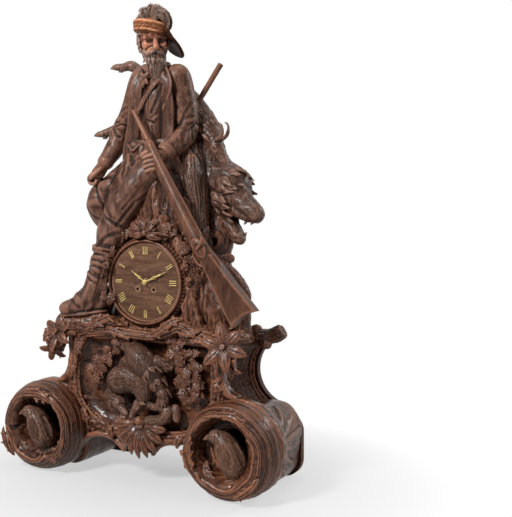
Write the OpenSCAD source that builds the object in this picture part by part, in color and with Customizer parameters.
// Carved mantel clock: a hunter seated on a tree trunk above a scrolled plinth, with a spring-driven
// striking movement behind a carved dial. Millimetres, +Z up, front face towards -Y.
// Pieces are laid out about the axis of the hands, and place() moves them so that the origin is
// under the middle of the whole clock.

/* [Plinth] */
// Distance from the hands' axis to the middle of the left volute
volute_left = 242; // [232:2:250]
// Distance from the hands' axis to the middle of the right volute
volute_right = 224; // [214:2:234]
// Outer radius of a foot volute
volute_r = 98; // [92:1:102]
// Radius of the round hole through a foot volute
volute_hole_r = 42; // [38:1:46]
// Depth of a foot volute in front of the front board
volute_d = 74; // [64:1:84]
// Height of the plinth's flat top
plinth_h = 300; // [292:2:316]
// Depth of the plinth between its two boards
core_d = 154; // [140:2:170]
// Thickness of the front board
front_t = 28; // [22:1:34]
// Thickness of the back board
back_t = 16; // [12:1:24]
// Thickness of the top board and of the side panels
panel_t = 12; // [9:1:16]
// Half width of the front board at its waist
waist_x = 188; // [182:1:194]
// Half width of the oval niche
niche_rx = 165; // [150:1:170]
// Half height of the oval niche
niche_rz = 92; // [80:1:94]
// Width of the moulding around the niche
frame_w = 18; // [12:1:20]

/* [Trunk] */
// Height of the tree trunk above the plinth
trunk_h = 379; // [365:2:395]
// Radius of the trunk at the height of the dial, from side to side
trunk_r = 138; // [132:1:146]
// Radius of the trunk from front to back
trunk_ry = 72; // [70:1:78]

/* [Dial] */
// Height of the hands' axis above the plinth
dial_up = 123; // [118:1:130]
// Radius of the dial
dial_r = 86; // [82:1:90]
// Width of the bezel around the dial
bezel_w = 14; // [10:1:17]
// Thickness of the dial
dial_t = 7; // [5:0.5:8]
// Radius of the circle on which the numerals stand
numeral_ring_r = 68; // [64:1:70]
// Height of a numeral
numeral_h = 17; // [12:1:20]
// Length of the minute hand
minute_len = 61; // [50:1:66]
// Length of the hour hand
hour_len = 42; // [34:1:46]

/* [Movement] */
// Radius of the movement's round plates
plate_r = 49; // [48:0.5:50]
// Thickness of a movement plate
plate_t = 2.6; // [2:0.1:3]
// Distance between the two plates
plate_gap = 36; // [35:0.5:38]
// Sideways distance from the hands' axis to a winding arbor
winding_x = 20; // [19.5:0.1:20.5]
// Drop from the hands' axis to the winding arbors
winding_drop = 16; // [15.5:0.1:16.5]
// Side of a winding square
winding_square = 3.4; // [3:0.1:3.6]
// Outer radius of a spring barrel
barrel_r = 16; // [14:0.2:16.4]
// Length of the pendulum from its suspension to the middle of the bob
pendulum_len = 112; // [102:1:116]
// Radius of the pendulum bob
bob_r = 19; // [15:1:21]
// Radius of the bell
bell_r = 37; // [34:0.5:38]

/* [Hunter] */
// Height of the middle of the hunter's head above the seat
head_up = 276; // [270:1:282]
// Radius of the head
head_r = 33; // [31:0.5:35]
// Thickness of the arms and legs against the usual
limb_k = 1; // [0.96:0.01:1.04]
// Radius of the rifle's barrel
barrel_tube_r = 6.5; // [5.5:0.5:7.5]
// Width of the rifle's butt
butt_w = 60; // [52:1:66]
// Radius of the staff slung behind the hunter
staff_r = 6; // [5:0.5:7]

/* [Fits] */
// Gap between carved pieces that only stand side by side
carve_gap = 0.5; // [0.4:0.05:0.8]
// Radial gap of a turning arbor in its hole
run_gap = 0.06; // [0.04:0.01:0.08]

/* [Hidden] */
$fn = 48;
ball_n = 7;                                 // facets around a carved ball

front_y = -62;                              // front face of the plinth's core
board_y = front_y - front_t;                // front face of the front board
core_back_y = front_y + core_d;
back_y = core_back_y + back_t;              // back of the clock
volute_y = board_y - volute_d;              // front of the clock
foot_flat = 1.5;                            // what a foot's round loses to its flat
volute_z = volute_r - foot_flat;
mid_x = ((volute_left + volute_r) - (volute_right + volute_r)) / 2;
mid_y = -(volute_y + back_y) / 2;

dial_z = plinth_h + dial_up;
niche_x = 18;
niche_z = plinth_h - 90;
niche_d = front_t / 2;
trunk_top = plinth_h + trunk_h;             // the hunter's seat

bezel_r = dial_r + bezel_w;
seat_y = front_y + 2;                       // flat seat of the bezel on the trunk
dial_back_y = seat_y - 11;
dial_y = dial_back_y - dial_t;              // front face of the dial
bezel_y = dial_y - 8;                       // front edge of the bezel
plate_y = seat_y;                           // front face of the front plate
inner_y = plate_y + plate_t;                // inner face of the front plate
rear_inner_y = inner_y + plate_gap;         // inner face of the back plate
rear_plate_y = rear_inner_y + plate_t;      // outer face of the back plate
bore_r = plate_r + 2;                       // bore in the trunk for the movement
chamber_y = rear_plate_y + 2;               // front wall of the pendulum's chamber
chamber_w = 2 * bore_r + 8;
chamber_z0 = plinth_h + 14;
chamber_z1 = dial_z + bore_r + 12;
trunk_x = 16;                               // middle of the trunk's foot
trunk_y = 12;
niche_drop = 86;                            // from the niche's middle to the palmette
back_flat_y = 64;                           // flat cut on the trunk's back, where the door lies
door_t = 8;
door_lap = 6;                               // how far the door laps its opening
door_gap = 0.6;

side_x = 262;                               // axis of the side panels' curve
side_z = plinth_h - 72;
side_r = 86;                                // inner radius of that curve
waist_r = 38;                               // curve of the front board's waist
side_cut_r = 75;                            // curve of the back board's waist
arch_r = 72;                                // curve of the arches under the front board
volute_n = 14;                              // steps across a volute's face
groove = 4;                                 // depth of the bark-like grooves
S = trunk_top;                              // the seat, from which the figure is measured
brim_r = 54;
door_w = chamber_w + 2 * door_lap;
door_h = chamber_z1 - chamber_z0 + 2 * door_lap;
hinge_x = -door_w / 2 - 1;
hinge_y = back_flat_y + 3.4;
hinge_z = [chamber_z0 + 30, chamber_z1 - 30];

arbor_r = 1.2;                              // centre arbor
cannon_r = 2.2;                             // pipe of the cannon pinion
pipe_r = 3.4;                               // pipe of the hour wheel
winder_r = 2.6;
pivot_r = 0.8;
work_y = plate_y - 0.6;                     // back of the motion work
hour_y = dial_y - 1.4;                      // back of the hour hand
minute_y = dial_y - 4.4;
hand_t = 1;
work_m = 0.5;                               // tooth module of cannon pinion and minute wheel
hour_m = 24 * work_m / 25;
stud_a = 65;                                // direction of the minute wheel's stud
stud = 24 * work_m * [cos(stud_a), sin(stud_a)];
great_m = sqrt(winding_x * winding_x + winding_drop * winding_drop) / 48;
going_a = atan2(-winding_drop, -winding_x); // direction from the centre to the going barrel
escape_at = [0, 23.4];
pallet_at = [0, 37];
hammer_at = [30, -30];
hammer_rest = -19;
bell_y = rear_plate_y + 22;                 // mouth of the bell
hour_angle = 54.5;
minute_angle = -66;
roman = [[], [1], [1, 1], [1, 1, 1], [1, 1, 1, 1], [5], [5, 1], [5, 1, 1], [5, 1, 1, 1], [1, 10], [10],
  [10, 1], [10, 1, 1]];

function xyz(p) = [p[0], p[1], p[2]];
function lerp(a, b, t) = a + (b - a) * t;
function ellipse(rx, rz, n = 48) = [for (i = [0 : n - 1]) [rx * cos(360 * i / n), rz * sin(360 * i / n)]];

module place() translate([mid_x, mid_y, 0]) children();

// Draws its children as seen from the front about the hands' axis, with their base at y.
module facing(y) translate([0, y, dial_z]) rotate([90, 0, 0]) children();

// Draws its children as seen from the front about the origin, from y towards the front.
module upright(y) translate([0, y, 0]) rotate([90, 0, 0]) children();

// Lifts its children from the plinth's top, and spreads them with the trunk's foot.
module on_plinth() translate([0, 0, plinth_h]) children();
module about_trunk() translate([trunk_x, trunk_y, plinth_h])
  scale([trunk_r / 138, trunk_ry / 72, 1]) translate([-trunk_x, -trunk_y, 0]) children();

module ball(p, r, n = ball_n) translate(p) sphere(r, $fn = n);

// A carved limb through [x, y, z, radius] stations.
module limb(stations, k = 1, n = ball_n)
  for (i = [0 : len(stations) - 2])
    hull() {
      ball(xyz(stations[i]), k * stations[i][3], n);
      ball(xyz(stations[i + 1]), k * stations[i + 1][3], n);
    }

// A closed loft through level [z, x, y, rx, ry] sections, waved like bark by wave.
module loft(sections, n = 24, wave = 0, lobes = 7) {
  m = len(sections);
  points = [for (i = [0 : m - 1]) let (s = sections[i]) for (j = [0 : n - 1])
    let (a = 360 * j / n, k = 1 + wave * sin(lobes * a + 40 * i))
    [s[1] + s[3] * k * cos(a), s[2] + s[4] * k * sin(a), s[0]]];
  sides = [for (i = [0 : m - 2]) for (j = [0 : n - 1]) let (u = (j + 1) % n)
    each [[i * n + j, (i + 1) * n + j, (i + 1) * n + u], [i * n + j, (i + 1) * n + u, i * n + u]]];
  polyhedron(points, concat(sides, [[for (j = [0 : n - 1]) j]],
    [[for (j = [0 : n - 1]) (m - 1) * n + n - 1 - j]]));
}

// A wheel with z teeth of module m, the first tooth at angle phase.
module gear(z, m, t, phase = 0) {
  pitch = 360 / z;
  root = m * (z / 2 - 1.15);
  tip = m * (z / 2 + 0.8);
  linear_extrude(t) polygon([for (i = [0 : z - 1]) let (a = phase + i * pitch) each [
    root * [cos(a - 0.27 * pitch), sin(a - 0.27 * pitch)],
    tip * [cos(a - 0.1 * pitch), sin(a - 0.1 * pitch)],
    tip * [cos(a + 0.1 * pitch), sin(a + 0.1 * pitch)],
    root * [cos(a + 0.27 * pitch), sin(a + 0.27 * pitch)]]]);
}

// Phase of a driven wheel of z2 teeth that meshes at angle along with a driver of z1 teeth.
function mesh_phase(z1, z2, along, phase1) = along + 180 + 180 / z2 + (along - phase1) * z1 / z2;

// The front board, with its waist, foot discs, arches and niche.
module front_board_shape() upright(front_y) difference() {
  union() {
    linear_extrude(front_t) polygon([[-214, plinth_h], [214, plinth_h], [volute_right, volute_z],
      [120, 60], [45, 84], [20, 60], [-8, 60], [-70, 84], [-120, 60], [-volute_left, volute_z]]);
    translate([-volute_left, volute_z]) cylinder(h = front_t, r = volute_r);
    translate([volute_right, volute_z]) cylinder(h = front_t, r = volute_r);
  }
  for (s = [-1, 1]) hull() for (z = [volute_z + 138, plinth_h + 60])
    translate([s * (waist_x + waist_r), z, -1]) cylinder(h = front_t + 2, r = waist_r);
  translate([92, 20, -1]) cylinder(h = front_t + 2, r = arch_r);
  translate([-104, 12, -1]) cylinder(h = front_t + 2, r = arch_r);
  translate([-volute_left, volute_z, -1]) cylinder(h = front_t + 2, r = volute_hole_r);
  translate([volute_right, volute_z, -1]) cylinder(h = front_t + 2, r = volute_hole_r);
  translate([-400, -100, -1]) cube([800, 100, front_t + 2]);
  translate([niche_x, niche_z, front_t - niche_d]) linear_extrude(front_t)
    polygon(ellipse(niche_rx, niche_rz));
}
module front_board() color("saddlebrown") place() front_board_shape();

module back_board() color("saddlebrown") place() upright(back_y) difference() {
  union() {
    linear_extrude(back_t) polygon([[-217, plinth_h], [217, plinth_h], [250, 138], [290, 98], [290, 40],
      [250, 0], [-250, 0], [-290, 40], [-290, 98], [-250, 138]]);
    for (s = [-1, 1]) for (z = [40, 98]) translate([s * 250, z]) cylinder(h = back_t, r = 40);
  }
  for (s = [-1, 1]) translate([s * side_x, side_z, -1]) cylinder(h = back_t + 2, r = side_cut_r);
  translate([0, -42, -1]) cylinder(h = back_t + 2, r = 2.1 * arch_r);
}

module top_board() color("saddlebrown") place()
  top_board_shape();

// The curved plate from which a side panel is cut, s is its side.
module side_curve(s) upright(core_back_y) linear_extrude(core_d) translate([s * side_x, side_z])
  difference() {
  circle(side_r + panel_t);
  circle(side_r);
}

// A side panel between the boards, foot_x is the middle of its foot.
module side_panel_shape(s, foot_x) difference() {
  side_curve(s);
  upright(core_back_y + 1) linear_extrude(core_d + 2) foot_outline(foot_x, s);
  translate([s > 0 ? side_x : -side_x - 200, front_y - 1, 0]) cube([200, core_d + 2, 400]);
  translate([-400, front_y - 1, plinth_h - panel_t]) cube([800, core_d + 2, 200]);
}
module side_panel(s, foot_x) color("peru") place() side_panel_shape(s, foot_x);
module side_panel_left() side_panel(-1, -volute_left);
module side_panel_right() side_panel(1, volute_right);

// A foot between the boards, bored through like the volute in front of it, s is its side.
module foot_outline(x, s) translate([x, 0]) hull() {
  for (dx = [-34, 16]) translate([s * dx, 44]) circle(44);
  translate([-36 * s, volute_z + 12]) circle(52);
  translate([12 * s, volute_z + 12]) circle(57);
}
module foot(x, s) color("saddlebrown") place() upright(core_back_y) linear_extrude(core_d) difference() {
  foot_outline(x, s);
  translate([x, volute_z]) circle(volute_hole_r);
}
module foot_left() foot(-volute_left, -1);
module foot_right() foot(volute_right, 1);

module volute_shape(x) difference() {
  translate([x, board_y, volute_z]) rotate([90, 0, 0]) rotate_extrude() polygon(concat(
    [[volute_r, 0], [volute_hole_r, 0]],
    [for (i = [0 : volute_n]) let (t = i / volute_n) [lerp(volute_hole_r, volute_r, t),
      (volute_d - groove) * (0.42 + 0.58 * pow(sin(180 * t), 0.7)) + groove * (i % 2)]]));
  translate([x - 150, -300, -200]) cube([300, 400, 200]);
}
module volute_scroll_left() color("sienna") place() volute_shape(-volute_left);
module volute_scroll_right() color("sienna") place() volute_shape(volute_right);

// A bird curled up in the hole of a volute, its beak towards side s.
module volute_bird(x, s) color("sienna") place() difference() {
  translate([x, board_y - volute_d / 2, volute_z]) union() {
    limb([[-6 * s, -4, -24, 20], [2 * s, -10, -8, 24], [0, -14, 14, 18], [-10 * s, -18, 30, 11]], n = 5);
    limb([[-10 * s, -20, 30, 10], [-26 * s, -24, 36, 3]], n = 5);
    for (w = [-1, 1]) limb([[w * 12, -12, 10, 13], [w * 18, -10, -10, 13], [w * 14, -6, -30, 8]], n = 5);
    limb([[0, 4, -22, 14], [0, 22, -28, 12]], n = 5);
  }
  volute_shape(x);
}
module volute_birds() {
  volute_bird(-volute_left, 1);
  volute_bird(volute_right, 1);
}

// A stepped oval moulding, notched where it passes the right volute.
module niche_frame() color("saddlebrown") place() difference() {
  for (step = [0, 1]) upright(board_y - 8 * step) translate([niche_x, niche_z]) difference() {
    linear_extrude(8) polygon(ellipse(niche_rx + frame_w - 5 * step, niche_rz + frame_w * 0.8 - 5 * step));
    translate([0, 0, -1]) linear_extrude(10) polygon(ellipse(niche_rx + 5 * step, niche_rz + 4 * step));
  }
  for (x = [-volute_left, volute_right])
    translate([x, board_y + 1, volute_z]) rotate([90, 0, 0]) cylinder(h = 40, r = volute_r + carve_gap);
}

// The game bird hangs head down in the niche.
module game_bird_shape() translate([niche_x, board_y, niche_z]) {
  limb([[-52, 2, 82, 8], [-36, -6, 68, 16], [-16, -14, 50, 25], [6, -16, 30, 24], [22, -16, 8, 16],
    [34, -16, -10, 10], [37, -16, -24, 11]]);
  limb([[36, -20, -30, 8], [30, -22, -42, 2]]);
  limb([[-26, -6, 62, 14], [-46, 0, 34, 9], [-58, 4, 14, 5]]);
  limb([[10, -8, 44, 16], [34, 0, 40, 8]]);
}
module game_bird() color("peru") place() difference() {
  game_bird_shape();
  front_board_shape();
  niche_frame_block();
}

// A fox lies curled under the game bird.
module fox_shape() translate([niche_x, board_y, niche_z]) {
  limb([[-66, -6, -4, 18], [-50, -14, 2, 23], [-28, -16, 2, 21], [-8, -14, -8, 18], [-4, -14, -28, 14],
    [-14, -18, -48, 12], [-22, -20, -58, 9]]);
  limb([[-28, -18, 14, 12], [-6, -16, 18, 9], [10, -12, 6, 7]]);
  limb([[-4, -12, -32, 10], [18, -8, -46, 7]]);
}
module fox() color("sienna") place() difference() {
  fox_shape();
  front_board_shape();
  game_bird_shape();
}

// The head and forepaws of a hound at the lower rim of the niche.
module hound_head() color("sienna") place() difference() {
  translate([niche_x, board_y, niche_z]) {
    limb([[-84, -4, -34, 15], [-66, -14, -42, 15], [-46, -22, -52, 10], [-34, -26, -58, 7]], n = 5);
    limb([[-78, -12, -26, 8], [-88, -10, -44, 6]], n = 5);
    limb([[30, -6, -40, 14], [46, -14, -52, 12], [34, -20, -66, 9], [10, -22, -70, 8]], n = 5);
    limb([[58, -6, -44, 9], [64, -10, -62, 8]], n = 5);
    limb([[-50, -14, -60, 10], [-8, -14, -76, 10], [34, -14, -66, 10]], n = 5);
  }
  front_board_shape();
  fox_shape();
  game_bird_shape();
  palmette_shape();
  niche_frame_block();
}
module niche_frame_block() upright(board_y + 1) translate([niche_x, niche_z]) linear_extrude(17)
  difference() {
  polygon(ellipse(niche_rx + frame_w, niche_rz + frame_w));
  polygon(ellipse(niche_rx, niche_rz));
}

// A fan of seven leaves hangs under the niche.
module palmette_shape() translate([niche_x - 14, board_y, niche_z - niche_drop]) {
    for (a = [-72 : 24 : 72]) hull() {
      ball([8 * sin(a), -10, -4], 11);
      ball([38 * sin(a), -24, -38 * cos(a)], 10, 6);
      ball([66 * sin(a), -18, -70 * cos(a)], 4, 6);
    }
    limb([[-6, -10, 4, 12], [6, -10, 4, 12]]);
}
module palmette_drop() color("sienna") place() difference() {
  palmette_shape();
  front_board_shape();
  niche_frame_block();
}

// Two carved scrolls run over the top of the front board and meet under the dial.
module scroll_crest_left() on_plinth() limb([[-176, -88, 6, 9], [-146, -96, 14, 11], [-112, -100, 28, 12],
  [-74, -100, 34, 12], [-52, -98, 26, 9], [-66, -100, 16, 7]], n = 6);
module scroll_crest_right() on_plinth() limb([[112, -92, 4, 9], [168, -88, 6, 9],
  [206, -86, 4, 8]], n = 6);
module scroll_crest() color("sienna") place() difference() {
  union() {
    scroll_crest_left();
    scroll_crest_right();
    on_plinth() {
      limb([[34, -102, 13, 8], [62, -100, 20, 11], [98, -100, 34, 11], [122, -98, 22, 9],
        [110, -98, 12, 6]], n = 6);
      limb([[-66, -104, 12, 9], [-10, -106, 14, 10], [34, -104, 12, 9]], n = 6);
    }
  }
  front_board_shape();
  niche_frame_block();
  ground_shape();
  dial_seat();
}

// The space of the dial's bezel, which the carving around it keeps clear of.
module dial_seat() facing(seat_y) translate([0, 0, -1]) cylinder(h = 60, r = bezel_r + carve_gap);

// The space of the top board.
module top_board_shape() translate([-205, front_y, plinth_h - panel_t]) cube([410, core_d, panel_t]);

// An open flower of n petals at p, turned by tilt, petals of length l.
module blossom(p, tilt, n, l) translate(p) rotate(tilt) {
  limb([[0, 0, 0, 7], [0, 0, 12, 9]], n = 6);
  for (i = [0 : n - 1]) rotate([3 * i - 5, 4, i * 360 / n + 5]) hull() {
    ball([5, 0, 6 + 0.4 * i], 7, 5);
    ball([0.6 * l, 0, 10], 11, 5);
    ball([l - 3, 0, 6], 5, 5);
  }
}
module flower_left() color("sienna") place() difference() {
  union() {
    on_plinth() {
      blossom([-206, -106, 4], [66, -24, 0], 6, 40);
      blossom([-222, -106, -28], [118, -26, 0], 5, 34);
      limb([[-168, -106, 8, 10], [-206, -108, 2, 11], [-222, -108, -28, 10]], n = 6);
    }
  }
  front_board_shape();
  scroll_crest_left();
  ground_shape();
  hunter_legs_shape();
  top_board_shape();
}
module flower_right() color("sienna") place() difference() {
  union() {
    on_plinth() {
      blossom([210, -110, 0], [70, 20, 0], 6, 40);
      blossom([222, -106, -36], [110, 24, 0], 5, 26);
      limb([[168, -94, 8, 9], [210, -110, 0, 11], [222, -108, -36, 9]], n = 6);
    }
  }
  front_board_shape();
  scroll_crest_right();
  top_board_shape();
  ground_shape();
  side_panel_shape(1, volute_right);
}

module branch_stub() color("saddlebrown") place() difference() {
  union() {
    translate([trunk_r - 138, 0, plinth_h]) {
      limb([[182, 48, 10, 15], [212, 52, 4, 15], [236, 58, 6, 13], [252, 60, 14, 14]]);
      limb([[236, 56, 8, 9], [262, 56, 22, 8]]);
      limb([[196, 46, 12, 10], [206, 48, 22, 8]]);
      limb([[212, 52, 0, 12], [230, 46, -10, 9]]);
    }
  }
  ground_shape();
  trunk_form();
  top_board_shape();
  side_panel_shape(1, volute_right);
  upright(back_y) linear_extrude(back_t) square([600, 2 * plinth_h], center = true);
}

// Rough ground over the plinth, higher at the left under the boot.
module ground_shape() difference() {
  union() {
    about_trunk() {
      limb([[-150, -60, 6, 22], [-100, -66, 12, 26], [-40, -50, 6, 30], [40, -50, 6, 30], [110, -60, 12, 28],
        [160, -40, 6, 24]]);
      limb([[-150, 20, 4, 24], [-60, 50, 6, 26], [40, 56, 6, 26], [130, 50, 8, 28], [160, 0, 6, 26]]);
      limb([[-100, -70, 18, 20], [-146, -80, 22, 16], [-178, -84, 22, 13]]);
      limb([[-150, -60, 6, 22], [-168, -18, 4, 18], [-150, 20, 4, 24]]);
      limb([[160, -40, 6, 24], [196, -16, 4, 18], [186, 24, 4, 16], [130, 50, 8, 28]]);
    }
  }
  translate([-400, -300, plinth_h - 100]) cube([800, 600, 100]);
  trunk_form();
  dial_seat();
  facing(back_y) translate([-400, -dial_z, 0]) cube([800, 2 * dial_z, back_y - core_back_y]);
}
module ground() color("saddlebrown") place() ground_shape();

// The trunk without its bores.
module trunk_form() loft([
  [plinth_h, trunk_x, trunk_y, 1.22 * trunk_r, 1.06 * trunk_ry],
  [plinth_h + 36, 20, trunk_y, 1.14 * trunk_r, 1.02 * trunk_ry],
  [plinth_h + 78, 24, 11, 1.07 * trunk_r, trunk_ry], [dial_z, 24, 10, trunk_r, trunk_ry],
  [dial_z + 57, 20, 9, 0.9 * trunk_r, trunk_ry], [dial_z + 107, 14, 7, 0.83 * trunk_r, 0.96 * trunk_ry],
  [dial_z + 157, 6, 4, 0.73 * trunk_r, 0.9 * trunk_ry],
  [trunk_top - 44, -2, 0, 0.64 * trunk_r, 0.8 * trunk_ry],
  [trunk_top, -16, -4, 0.55 * trunk_r, 0.62 * trunk_ry]], 24, 0.035);

module tree_trunk() color("saddlebrown") place() difference() {
  trunk_form();
  facing(seat_y) cylinder(h = 100, r = bezel_r + carve_gap);
  facing(back_y) cylinder(h = back_y - seat_y + 1, r = bore_r);
  translate([-chamber_w / 2, chamber_y, chamber_z0]) cube([chamber_w, 200, chamber_z1 - chamber_z0]);
  translate([-chamber_w / 2 - 40, back_flat_y, plinth_h - 1])
    cube([chamber_w + 80, 200, chamber_z1 - plinth_h + 30]);
  translate([-door_w / 2 - door_gap, back_flat_y - door_t, chamber_z0 - door_lap - door_gap])
    cube([door_w + 2 * door_gap, 200, door_h + 2 * door_gap]);
}

module root_branch() color("saddlebrown") place() difference() {
  union() {
    translate([trunk_r - 138, 0, plinth_h]) {
      limb([[128, -30, 170, 18], [156, -44, 158, 17], [188, -46, 140, 14], [212, -46, 114, 12],
        [222, -44, 92, 9]], n = 6);
      limb([[120, 10, 100, 22], [160, 4, 68, 20], [188, -2, 40, 18], [196, -4, 16, 16]], n = 6);
      limb([[150, -36, 170, 10], [176, -20, 176, 8]], n = 5);
      limb([[210, -44, 114, 12], [204, -20, 70, 14], [190, -2, 40, 17]], n = 6);
    }
    limb([[128, 20, S - 128, 30], [138, 8, S - 166, 26], [140, -10, S - 206, 20]]);
  }
  trunk_form();
  rifle_shape();
  ground_shape();
  bear_shape();
}

module hunter_legs_shape() {
  limb([[-50, -22, S - 2, 40], [-72, -42, S - 65, 37], [-89, -60, S - 130, 33], [-99, -76, S - 180, 26],
    [-108, -84, S - 212, 23], [-126, -92, S - 262, 18]], limb_k);
  limb([[-126, -92, S - 262, 18], [-114, -90, S - 294, 19], [-154, -104, S - 312, 17],
    [-182, -112, S - 324, 14]], limb_k);
  limb([[-56, -8, S - 8, 38], [-102, -22, S - 48, 36], [-142, -34, S - 82, 32], [-139, -22, S - 112, 30],
    [-112, 8, S - 152, 26], [-84, 30, S - 190, 22]], limb_k);
}
module hunter_legs() color("peru") place() difference() {
  hunter_legs_shape();
  trunk_form();
  ground_shape();
  dial_seat();
}

module hunter_body_shape() {
  hull() {
    ball([-44, -14, S + 190], 25);
    ball([38, -14, S + 188], 27);
    ball([-4, -26, S + 132], 34);
    ball([-34, -12, S + 70], 30);
    ball([20, -12, S + 66], 30);
  }
  hull() {
    ball([-34, -12, S + 70], 30);
    ball([20, -12, S + 66], 30);
    ball([-54, -14, S + 6], 36);
    ball([14, -10, S + 2], 38);
  }
  limb([[-8, -16, S + 192, 28], [-10, -20, S + head_up - 48, 19]]);
  limb([[30, -14, S + 10, 34], [52, -6, S - 24, 24], [60, 2, S - 46, 14]]);
  limb([[24, -50, S + 178, 6], [-8, -60, S + 146, 6], [-36, -50, S + 110, 6]], n = 6);
  limb([[-36, -42, S + 52, 14], [-12, -46, S + 48, 14]]);
  limb([[-40, -40, S + 186, 8], [-46, -48, S + 120, 8], [-58, -44, S + 50, 9]], n = 6);
}
module hunter_body() color("saddlebrown") place() difference() {
  hunter_body_shape();
  trunk_form();
  hunter_legs_shape();
}

module hunter_head_shape() {
  hull() {
    ball([-8, -30, S + head_up], head_r, 8);
    ball([4, -44, S + head_up - 34], 17);
  }
  limb([[14, -58, S + head_up - 4, 4], [18, -64, S + head_up - 17, 5]], n = 6);
  limb([[8, -50, S + head_up - 38, 19], [15, -57, S + head_up - 62, 18], [22, -62, S + head_up - 88, 11],
    [25, -62, S + head_up - 104, 4]]);
  limb([[-8, -56, S + head_up - 28, 7], [16, -62, S + head_up - 27, 8], [32, -42, S + head_up - 32, 7]],
    n = 6);
  limb([[-40, -18, S + head_up - 2, 9], [-38, -14, S + head_up - 24, 9], [-30, -12, S + head_up - 34, 8]],
    n = 6);
}
module hunter_head() color("peru") place() difference() {
  hunter_head_shape();
  hunter_body_shape();
}

// Radius and lift of the hat's brim every 30 degrees from the brow towards the right ear: turned up over
// the brow, drooping at the right.
brim_edge = [[40, 20], [42, 13], [52, -16], [61, -40], [60, -28], [58, -12], [54, -4], [53, 2], [50, 10],
  [46, 17], [43, 19], [41, 20]];
head_turn = 38;
function brim(k, t) = let (a = head_turn - 90 + 30 * k, e = brim_edge[k % 12], r = lerp(31, e[0], t))
  [-8 + r * cos(a), -30 + r * sin(a), S + head_up + 16 + e[1] * t * t];
module hunter_hat_shape() {
  for (k = [0 : 11]) {
    hull() for (b = [k, k + 1]) for (t = [0, 0.55]) ball(brim(b, t), 3, 5);
    hull() for (b = [k, k + 1]) for (t = [0.55, 1]) ball(brim(b, t), 3, 5);
  }
  hull() {
    ball([-8, -28, S + head_up + 14], head_r + 3, 8);
    ball([-10, -26, S + head_up + 24], head_r + 1, 8);
  }
}
module hunter_hat() color("chocolate") place() difference() {
  hunter_hat_shape();
  hunter_head_shape();
  hunter_body_shape();
}
module hat_plume() color("peru") place() difference() {
  translate([0, 0, S + head_up]) {
    limb([[-14, -40, 36, 8], [-20, -44, 46, 9], [-32, -46, 50, 5]], n = 5);
    limb([[-12, -40, 36, 8], [-14, -44, 50, 9], [-20, -46, 61, 5]], n = 5);
    limb([[4, -38, 34, 8], [6, -42, 52, 9], [12, -42, 60, 8], [26, -38, 52, 7], [34, -34, 36, 5]], n = 5);
    limb([[6, -38, 34, 8], [16, -40, 46, 7], [22, -38, 40, 5]], n = 5);
  }
  hunter_hat_shape();
  hunter_head_shape();
}

module arm_left_shape() limb([[-46, -14, S + 192, 27], [-68, -8, S + 148, 23.5], [-86, -2, S + 114, 22],
  [-106, 0, S + 82, 22], [-118, -12, S + 46, 20], [-131, -34, S + 8, 15.5], [-139, -50, S - 14, 16],
  [-145, -56, S - 26, 13]], limb_k);
module arm_left() color("saddlebrown") place() difference() {
  union() {
    arm_left_shape();
    limb([[-126, -26, S + 22, 18], [-130, -32, S + 12, 18]]);
    limb([[-150, -46, S - 20, 8], [-142, -66, S - 26, 6]]);
  }
  hunter_body_shape();
  hunter_legs_shape();
}
module arm_right_shape() {
  limb([[42, -12, S + 192, 28], [52, -8, S + 148, 26], [58, -6, S + 104, 25], [60, -6, S + 72, 24],
    [56, -32, S + 48, 21.5], [44, -60, S + 26, 18], [34, -84, S + 6, 16], [30, -94, S - 8, 13]], limb_k);
  limb([[50, -54, S + 34, 19], [44, -62, S + 26, 19]]);
  limb([[40, -98, S + 12, 7], [24, -104, S + 2, 6]]);
}
module arm_right() color("saddlebrown") place() difference() {
  arm_right_shape();
  hunter_body_shape();
  hunter_legs_shape();
}

// The rifle stands on its butt beside the dial, held below the muzzle.
rifle_muzzle = [-26, -84, S + 113];
rifle_lock = [158, -118, S - 178];
rifle_butt = [252, -108, S - 316];
module rifle_shape() {
  for (i = [0 : 2]) hull() {
    ball(lerp(rifle_muzzle, rifle_lock, i / 3), barrel_tube_r);
    ball(lerp(rifle_muzzle, rifle_lock, (i + 1) / 3), barrel_tube_r);
  }
  for (i = [1 : 3]) hull() {
    ball(lerp(rifle_muzzle, rifle_lock, i / 4) + [-3, 0, -3], 8 + 2 * i);
    ball(lerp(rifle_muzzle, rifle_lock, (i + 1) / 4) + [-3, 0, -3], 10 + 2 * i);
  }
  hull() {
    ball(rifle_lock, 16);
    ball(lerp(rifle_lock, rifle_butt, 0.35), 15);
  }
  hull() {
    ball(lerp(rifle_lock, rifle_butt, 0.35), 15);
    for (e = [-1, 1]) ball(rifle_butt + e * (butt_w / 2 - 6) * [0.82, 0, 0.57], 10);
  }
  hull() {
    ball(rifle_lock + [14, 0, 12], 5);
    ball(rifle_lock + [22, 0, 4], 4);
  }
}
module rifle() color("sienna") place() difference() {
  rifle_shape();
  arm_right_shape();
  hunter_body_shape();
  hunter_legs_shape();
  hunter_head_shape();
  trunk_form();
}

// The staff stands behind the hunter's shoulder, and its lower end is held by the slung game.
module staff_shape() translate([123, 40, S + 221]) rotate([0, 180 + 35, 0]) cylinder(h = 190, r = staff_r);
module staff() color("saddlebrown") place() difference() {
  staff_shape();
  hunter_body_shape();
}

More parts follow.
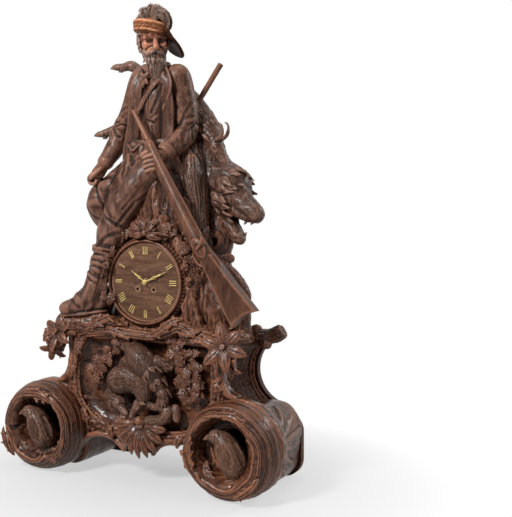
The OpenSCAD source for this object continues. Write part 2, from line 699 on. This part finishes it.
module chamois_shape() {
  limb([[-50, 50, S + 188, 18], [-20, 54, S + 176, 26], [24, 56, S + 144, 32], [58, 50, S + 106, 33],
    [90, 42, S + 76, 26], [112, 30, S + 46, 20], [138, 22, S + 18, 13.5], [152, 18, S + 2, 9]]);
  limb([[-60, 40, S + 200, 13], [-86, 24, S + 224, 11], [-118, 20, S + 224, 10],
    [-140, 20, S + 230, 8]], n = 6);
  limb([[-40, 52, S + 170, 15], [-84, 48, S + 120, 14], [-128, 38, S + 92, 13], [-164, 28, S + 74, 11],
    [-192, 24, S + 76, 9]], n = 6);
  limb([[100, 34, S + 60, 8], [116, 30, S + 66, 6], [124, 26, S + 52, 4]], n = 6);
}
module chamois() color("sienna") place() difference() {
  chamois_shape();
  staff_shape();
  hunter_body_shape();
  arm_left_shape();
  arm_right_shape();
  hunter_legs_shape();
  hunter_head_shape();
  trunk_form();
}

module bear_shape() {
  limb([[62, 16, S + 20, 34], [76, -6, S - 20, 33], [92, -22, S - 66, 27], [106, -38, S - 112, 21],
    [116, -48, S - 140, 18], [126, -54, S - 156, 13]]);
  limb([[86, 40, S + 10, 40], [122, 36, S - 20, 44], [158, 28, S - 46, 46], [186, 20, S - 66, 40],
    [212, 10, S - 96, 27], [226, 2, S - 117, 16]]);
  limb([[134, 12, S - 72, 30], [156, 8, S - 112, 23], [178, 4, S - 140, 15], [196, 2, S - 155, 9]]);
  limb([[156, -14, S - 22, 11], [164, -18, S - 12, 9]], n = 6);
  limb([[178, 52, S - 36, 11], [186, 56, S - 28, 9]], n = 6);
}
module bear() color("sienna") place() difference() {
  bear_shape();
  trunk_form();
  chamois_shape();
  hunter_body_shape();
  hunter_legs_shape();
  arm_right_shape();
  rifle_shape();
}

module dial_bezel() color("saddlebrown") place() difference() {
  facing(seat_y) rotate_extrude() polygon([[dial_r - 6, 0], [bezel_r, 0], [bezel_r, 10], [bezel_r - 3, 16],
    [bezel_r - 6, 17], [bezel_r - 8, 21], [dial_r + 0.7 * (bezel_w - 8), seat_y - bezel_y],
    [dial_r + run_gap, dial_t + 13], [dial_r + run_gap, seat_y - dial_back_y],
    [dial_r - 6, seat_y - dial_back_y]]);
}

// The ring holds the front plate's rim against the trunk, with a screw head every 90 degrees.
module movement_ring() color("gold") place() facing(seat_y) difference() {
  union() {
    cylinder(h = 2, r = bore_r + 11);
    for (a = [45 : 90 : 315]) rotate(a) translate([bore_r + 5, 0, 0]) cylinder(h = 4, r = 3);
  }
  translate([0, 0, -1]) cylinder(h = 4, r = plate_r - 7);
}

module dial() color("peru") place() facing(dial_back_y) difference() {
  linear_extrude(dial_t) circle(dial_r);
  translate([0, 0, -1]) cylinder(h = dial_t + 2, r = pipe_r + 1.4);
  for (s = [-1, 1]) translate([s * winding_x, -winding_drop, -1]) cylinder(h = dial_t + 2, r = 3.6);
}

// Each numeral is made of gilt strokes that lie on the dial.
module numerals() color("goldenrod") place() facing(dial_y)
  for (h = [1 : 12]) rotate(-30 * h) translate([0, numeral_ring_r]) linear_extrude(1) numeral(roman[h]);
module numeral(glyphs) for (i = [0 : len(glyphs) - 1])
  translate([(i - (len(glyphs) - 1) / 2) * 4.6, 0]) stroke(glyphs[i]);
module stroke(g) {
  if (g == 1) square([1.5, numeral_h], center = true);
  if (g == 5) polygon([[-2.6, numeral_h / 2], [-0.9, numeral_h / 2], [0.2, -numeral_h / 2 + 4],
    [1.2, numeral_h / 2], [2, numeral_h / 2], [0.6, -numeral_h / 2], [-0.5, -numeral_h / 2]]);
  if (g == 10) polygon([[-2.4, numeral_h / 2], [-0.7, numeral_h / 2], [0.2, 1], [1.2, numeral_h / 2],
    [2.1, numeral_h / 2], [0.8, 0], [2.2, -numeral_h / 2], [0.5, -numeral_h / 2], [-0.2, -1.4],
    [-1.3, -numeral_h / 2], [-2.2, -numeral_h / 2], [-0.8, 0]]);
}

// A pierced hand of length l with a round boss, pointing up.
module hand(l, boss_r, hole_r) difference() {
  union() {
    cylinder(h = hand_t, r = boss_r);
    linear_extrude(hand_t) polygon([[-1.1, 0], [-0.9, 0.3 * l], [-3.4, 0.42 * l], [-1.2, 0.56 * l],
      [-2.2, 0.68 * l], [-0.7, 0.76 * l], [-0.2, l], [0.2, l], [0.7, 0.76 * l], [2.2, 0.68 * l],
      [1.2, 0.56 * l], [3.4, 0.42 * l], [0.9, 0.3 * l], [1.1, 0]]);
  }
  translate([0, 0, -1]) cylinder(h = hand_t + 2, r = hole_r);
  translate([0, 0, -1]) linear_extrude(hand_t + 2)
    polygon([[0, 0.36 * l], [-1.7, 0.42 * l], [0, 0.5 * l], [1.7, 0.42 * l]]);
}
module hour_hand() color("gold") place() facing(hour_y) rotate(hour_angle) hand(hour_len, 6, pipe_r);
module minute_hand() color("gold") place() facing(minute_y) rotate(minute_angle)
  hand(minute_len, 5, cannon_r);
module hand_nut() color("gold") place() facing(minute_y - hand_t) difference() {
  rotate_extrude() polygon([[cannon_r, 0], [3.8, 0], [3.8, 1], [2.9, 1.8], [cannon_r, 1.8]]);
}

// The cannon pinion turns on the centre arbor and carries the minute hand.
module cannon_pinion() color("gold") place() facing(work_y) difference() {
  union() {
    gear(12, work_m, 4, 0);
    cylinder(h = work_y - minute_y + hand_t + 1.8, r = cannon_r);
  }
  translate([0, 0, -1]) cylinder(h = 60, r = arbor_r + run_gap);
}
module hour_wheel() color("gold") place() facing(work_y - 4.6) difference() {
  union() {
    gear(40, hour_m, 1.6, mesh_phase(10, 40, stud_a + 180, mesh_phase(12, 36, stud_a, 0)));
    cylinder(h = work_y - 4.6 - hour_y + hand_t, r = pipe_r);
  }
  translate([0, 0, -1]) cylinder(h = 60, r = cannon_r + run_gap);
}
module minute_wheel() color("gold") place() facing(work_y) translate(stud) difference() {
  union() {
    gear(36, work_m, 1.6, mesh_phase(12, 36, stud_a, 0));
    gear(10, hour_m, 6.6, mesh_phase(12, 36, stud_a, 0));
  }
  translate([0, 0, -1]) cylinder(h = 20, r = 1 + run_gap);
}

// Bores of the front plate and the back plate: winding arbors, train pivots and pillars.
module plate_outline() difference() {
  circle(plate_r);
  circle(arbor_r + run_gap);
  for (s = [-1, 1]) translate([s * winding_x, -winding_drop]) circle(winder_r + run_gap);
  translate(escape_at) circle(pivot_r + run_gap);
  translate(pallet_at) circle(pivot_r + run_gap);
}
module front_plate() color("gold") place() facing(inner_y) {
  linear_extrude(plate_t) plate_outline();
  translate([stud[0], stud[1], plate_t]) cylinder(h = 9.6, r = 1);
}
module back_plate() color("gold") place() facing(rear_plate_y) linear_extrude(plate_t) difference() {
  plate_outline();
  translate(hammer_at) circle(pivot_r + run_gap);
}
module plate_pillars() color("gold") place() facing(rear_inner_y) for (a = [35, 145, 255, 285])
  rotate(a) translate([plate_r - 5, 0]) rotate_extrude() polygon([[0, 0], [3.4, 0], [3.4, 2], [2.2, 4],
    [2.2, plate_gap - 4], [3.4, plate_gap - 2], [3.4, plate_gap], [0, plate_gap]]);

// A spring barrel with its great wheel, bored for its winding arbor.
module spring_barrel(wheel_d, phase) difference() {
  union() {
    translate([0, 0, plate_gap - wheel_d - 2.5]) gear(84, great_m, 2.5, phase);
    translate([0, 0, plate_gap - 24]) cylinder(h = 19, r = barrel_r);
    translate([0, 0, min(plate_gap - 24, plate_gap - wheel_d - 2.5)])
      cylinder(h = max(wheel_d + 2.5, 24) - min(wheel_d, 5), r = 6);
  }
  translate([0, 0, -1]) cylinder(h = 60, r = winder_r + run_gap);
}
module going_barrel() color("gold") place() facing(rear_inner_y)
  translate([-winding_x, -winding_drop]) spring_barrel(2, mesh_phase(12, 84, going_a, 0));
module strike_barrel() color("gold") place() facing(rear_inner_y)
  translate([winding_x, -winding_drop]) spring_barrel(25, 0);

// A winding arbor with its square behind the dial's winding hole.
module winding_arbor() {
  translate([0, 0, 0.2]) cylinder(h = plate_gap + 2 * plate_t + 2, r = winder_r);
  translate([0, 0, plate_gap + 2 * plate_t + 2.2]) linear_extrude(11)
    square(winding_square, center = true);
}
module winding_arbors_going() color("silver") place() facing(rear_plate_y)
  translate([-winding_x, -winding_drop]) winding_arbor();
module winding_arbors_strike() color("silver") place() facing(rear_plate_y)
  translate([winding_x, -winding_drop]) winding_arbor();

// The centre arbor carries the centre wheel and the pinion that the going barrel drives.
module centre_wheel() color("gold") place() facing(rear_plate_y) {
  translate([0, 0, 0.2]) cylinder(h = rear_plate_y - minute_y + hand_t + 2.6, r = arbor_r);
  translate([0, 0, plate_t + plate_gap - 30.5]) gear(80, 0.4, 1.5, 0);
  translate([0, 0, plate_t + plate_gap - 5]) gear(12, great_m, 4, mesh_phase(84, 12, going_a + 180,
    mesh_phase(12, 84, going_a, 0)));
}
module escape_wheel() color("gold") place() facing(rear_plate_y) translate(escape_at) {
  translate([0, 0, 0.2]) cylinder(h = plate_gap + 2 * plate_t - 0.4, r = pivot_r);
  translate([0, 0, plate_t + 3]) linear_extrude(1.2) polygon([for (i = [0 : 23]) each
    [9 * [cos(15 * i), sin(15 * i)], 6.6 * [cos(15 * i + 2), sin(15 * i + 2)],
    6.6 * [cos(15 * i + 13), sin(15 * i + 13)]]]);
}
module pallets() color("silver") place() facing(rear_plate_y) {
  translate([pallet_at[0], pallet_at[1], -6]) cylinder(h = plate_gap + 2 * plate_t + 5.8, r = pivot_r);
  translate([pallet_at[0], pallet_at[1], plate_t + 3]) linear_extrude(1.2) difference() {
    union() {
      circle(3);
      for (s = [-1, 1]) polygon([[0, 2], [s * 9.6, -2.6], [s * 10.6, -10.5], [s * 9.7, -10.5],
        [s * 7.6, -3.4], [0, -1.4]]);
    }
  }
  translate([pallet_at[0] - 1, pallet_at[1] - 34, -6]) cube([2, 34, 1.6]);
  translate([pallet_at[0] - 2.7, pallet_at[1] - 35, -6]) cube([5.4, 3, 1.6]);
  for (s = [-1, 1]) translate([pallet_at[0] + s * 2.1 - 0.6, pallet_at[1] - 35, -14]) cube([1.2, 3, 9]);
}

// The cock on the back plate from which the pendulum's spring hangs.
module suspension_cock() color("gold") place() facing(rear_plate_y) {
  for (s = [-1, 1]) translate([s * 9 - 3, pallet_at[1] + 3, -10]) cube([6, 8, 10]);
  translate([-12, pallet_at[1] + 2, -14]) cube([24, 8, 4]);
}
module pendulum() color("gold") place() facing(rear_plate_y) translate([0, pallet_at[1], -12]) {
  translate([-1.6, -12, -0.2]) cube([3.2, 13.6, 0.4]);
  translate([-0.8, -pendulum_len + bob_r - 1, -0.8]) cube([1.6, pendulum_len - bob_r - 10, 1.6]);
  translate([0, -pendulum_len, -3]) rotate(20) rotate_extrude() polygon([[0, 0], [bob_r - 4, 0], [bob_r, 2],
    [bob_r, 4], [bob_r - 4, 6], [0, 6]]);
}

// The bell stands behind the pendulum on a bent post.
module bell() color("silver") place() facing(bell_y) difference() {
  union() {
    rotate_extrude() polygon(concat([for (i = [0 : 8]) let (a = 90 * i / 8)
      [bell_r * cos(a), -20 * sin(a)]], [for (i = [8 : -1 : 0]) let (a = 90 * i / 8)
      [(bell_r - 1.6) * cos(a), -18.2 * sin(a)]]));
    translate([0, 0, -25]) cylinder(h = 8, r = 3);
    translate([-plate_r + 6, -3, -25]) cube([plate_r - 6, 6, 3]);
    translate([-plate_r + 6, -3, -25]) cube([5, 6, 25 + bell_y - rear_plate_y]);
  }
}
module hammer() color("silver") place() facing(rear_plate_y) translate(hammer_at) {
  translate([0, 0, rear_plate_y - bell_y - 3])
    cylinder(h = bell_y - rear_plate_y + 3 + plate_t + 4, r = pivot_r);
  translate([0, 0, rear_plate_y - bell_y - 3]) rotate(hammer_rest) {
    translate([-1, 0, 0]) cube([2, 38, 2]);
    translate([0, 38, 1]) rotate([0, 90, 0]) cylinder(h = 8, r = 4, center = true);
  }
}

module rear_door() color("saddlebrown") place() difference() {
  union() {
    translate([-door_w / 2, back_flat_y - door_t, chamber_z0 - door_lap]) cube([door_w, door_t, door_h]);
    for (z = hinge_z) translate([hinge_x, hinge_y, z - 6]) {
      cylinder(h = 12, r = 3.2);
      translate([0, back_flat_y - hinge_y, 0]) cube([9, hinge_y - back_flat_y, 12]);
    }
  }
  for (z = hinge_z) translate([hinge_x, hinge_y, z - 7]) cylinder(h = 14, r = 1.5 + run_gap);
}
module door_hinge() color("goldenrod") place() for (z = hinge_z) translate([hinge_x, hinge_y, z]) {
  translate([0, 0, -13]) cylinder(h = 26, r = 1.5);
  for (d = [-13, 6.4]) translate([0, 0, d]) {
    cylinder(h = 6.6, r = 3.2);
    translate([-9, back_flat_y - hinge_y, 0]) cube([9, hinge_y - back_flat_y, 6.6]);
  }
}
module door_knob() color("goldenrod") place()
  translate([door_w / 2 - 12, back_flat_y, (chamber_z0 + chamber_z1) / 2]) rotate([-90, 0, 0])
    rotate_extrude() polygon([[0, 0], [5, 0], [5, 1.5], [2.4, 3], [2.4, 8], [6, 11], [6, 15], [3, 17],
      [0, 17]]);

front_board();
back_board();
top_board();
side_panel_left();
side_panel_right();
foot_left();
foot_right();
volute_scroll_left();
volute_scroll_right();
volute_birds();
niche_frame();
game_bird();
fox();
hound_head();
palmette_drop();
scroll_crest();
flower_left();
flower_right();
branch_stub();
ground();
tree_trunk();
root_branch();
hunter_body();
hunter_legs();
hunter_head();
hunter_hat();
hat_plume();
arm_left();
arm_right();
rifle();
staff();
chamois();
bear();
movement_ring();
dial();
numerals();
dial_bezel();
hour_hand();
minute_hand();
hand_nut();
cannon_pinion();
minute_wheel();
hour_wheel();
front_plate();
back_plate();
plate_pillars();
going_barrel();
strike_barrel();
winding_arbors_going();
winding_arbors_strike();
centre_wheel();
escape_wheel();
pallets();
suspension_cock();
pendulum();
bell();
hammer();
rear_door();
door_hinge();
door_knob();
